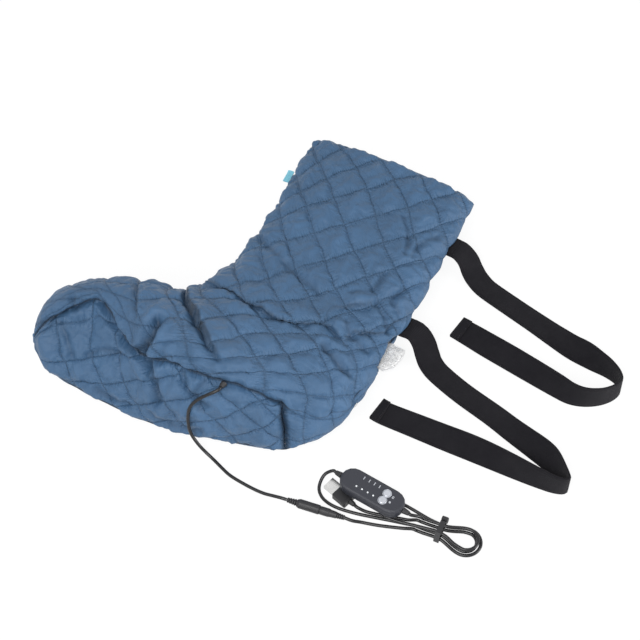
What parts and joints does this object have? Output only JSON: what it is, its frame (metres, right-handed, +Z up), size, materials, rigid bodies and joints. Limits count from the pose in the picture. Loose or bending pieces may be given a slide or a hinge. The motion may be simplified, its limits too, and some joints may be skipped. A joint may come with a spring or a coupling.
{
  "type": "heated boot",
  "caption": "Quilted padded boot with a fleece lining, a heating pad under the sole, two elastic straps, and a lead with a hand controller and a power plug.",
  "frame": {"origin": "point of the floor under the boot's ankle, on the flat underside of the lower flank", "axes": "+Z up from the floor, the boot lying on its side; +X from the toe towards the free straps; +Y from the sole towards the open top of the leg"},
  "size_m": [0.5682, 0.4846, 0.1004],
  "materials": {
    "shell": "quilted steel-blue polyester, slightly sheer",
    "fleece": "white fleece, matt",
    "heater": "woven heating layer in film, matt",
    "webbing": "black elastic webbing, matt",
    "tag": "light cyan woven tape, bare",
    "cord": "black jacket and mouldings, half gloss",
    "housing": "dark grey moulded, matt",
    "button": "silver coated plastic",
    "lamp": "clear white plastic",
    "board": "green circuit board",
    "metal": "plated metal",
    "tongue": "white insulator"
  },
  "bodies": {
    "boot": {"upper_flank_shell": "shell", "lower_flank_shell": "shell", "sole_shell": "shell", "toe_seam_allowance": "shell", "upper_flank_lining": "fleece", "lower_flank_lining": "fleece", "sole_lining": "fleece", "fleece_flap": "fleece", "heating_pad": "heater", "thermal_cutout": "housing", "side_tag": "tag", "upper_strap_anchor": "webbing", "lower_strap_anchor": "webbing", "lead_gland": "cord", "lead_cord": "cord", "socket_strain_relief": "cord", "socket_body": "cord", "socket_pin": "metal"},
    "upper_strap_body": {"upper_strap": "webbing", "upper_strap_hem": "webbing"},
    "lower_strap_body": {"lower_strap": "webbing", "lower_strap_hem": "webbing"},
    "cord_set": {"plug_body": "cord", "plug_barrel": "metal", "plug_strain_relief": "cord", "connector_cord": "cord", "cord_hank": "cord", "power_cord_turn": "cord", "power_cord_loop": "cord", "power_cord_tail": "cord", "controller_cord": "cord", "tie_band": "cord", "tie_head": "cord", "controller_base": "housing", "controller_cover": "housing", "controller_board": "board", "lamp_1": "lamp", "lamp_2": "lamp", "lamp_3": "lamp", "lamp_4": "lamp", "mode_switch": "housing", "power_switch": "housing", "controller_relief_right": "cord", "controller_relief_left": "cord", "usb_shell": "metal", "usb_tongue": "tongue", "usb_overmould": "cord", "usb_strain_relief": "cord"},
    "mode_button_body": {"mode_button": "button"},
    "power_button_body": {"power_button": "button"}
  },
  "joints": [
    {"name": "upper_strap_lift", "type": "hinge", "parent": "boot", "child": "upper_strap_body", "pos_m": [0.13792, 0.07445, 0.0212], "axis": [-0.5506, -0.8348, 0], "range_deg": [0, 100]},
    {"name": "lower_strap_lift", "type": "hinge", "parent": "boot", "child": "lower_strap_body", "pos_m": [0.08753, -0.02605, 0.0216], "axis": [-0.4799, -0.8773, 0], "range_deg": [0, 90]},
    {"name": "plug_pull", "type": "slide", "parent": "boot", "child": "cord_set", "axis": [0.9421, -0.3355, 0], "range_m": [0, 0.012]},
    {"name": "mode_button_press", "type": "slide", "parent": "cord_set", "child": "mode_button_body", "axis": [0, 0, -1], "range_m": [0, 0.0005], "stiffness_N_per_m": 400},
    {"name": "power_button_press", "type": "slide", "parent": "cord_set", "child": "power_button_body", "axis": [0, 0, -1], "range_m": [0, 0.0005], "stiffness_N_per_m": 400}
  ]
}
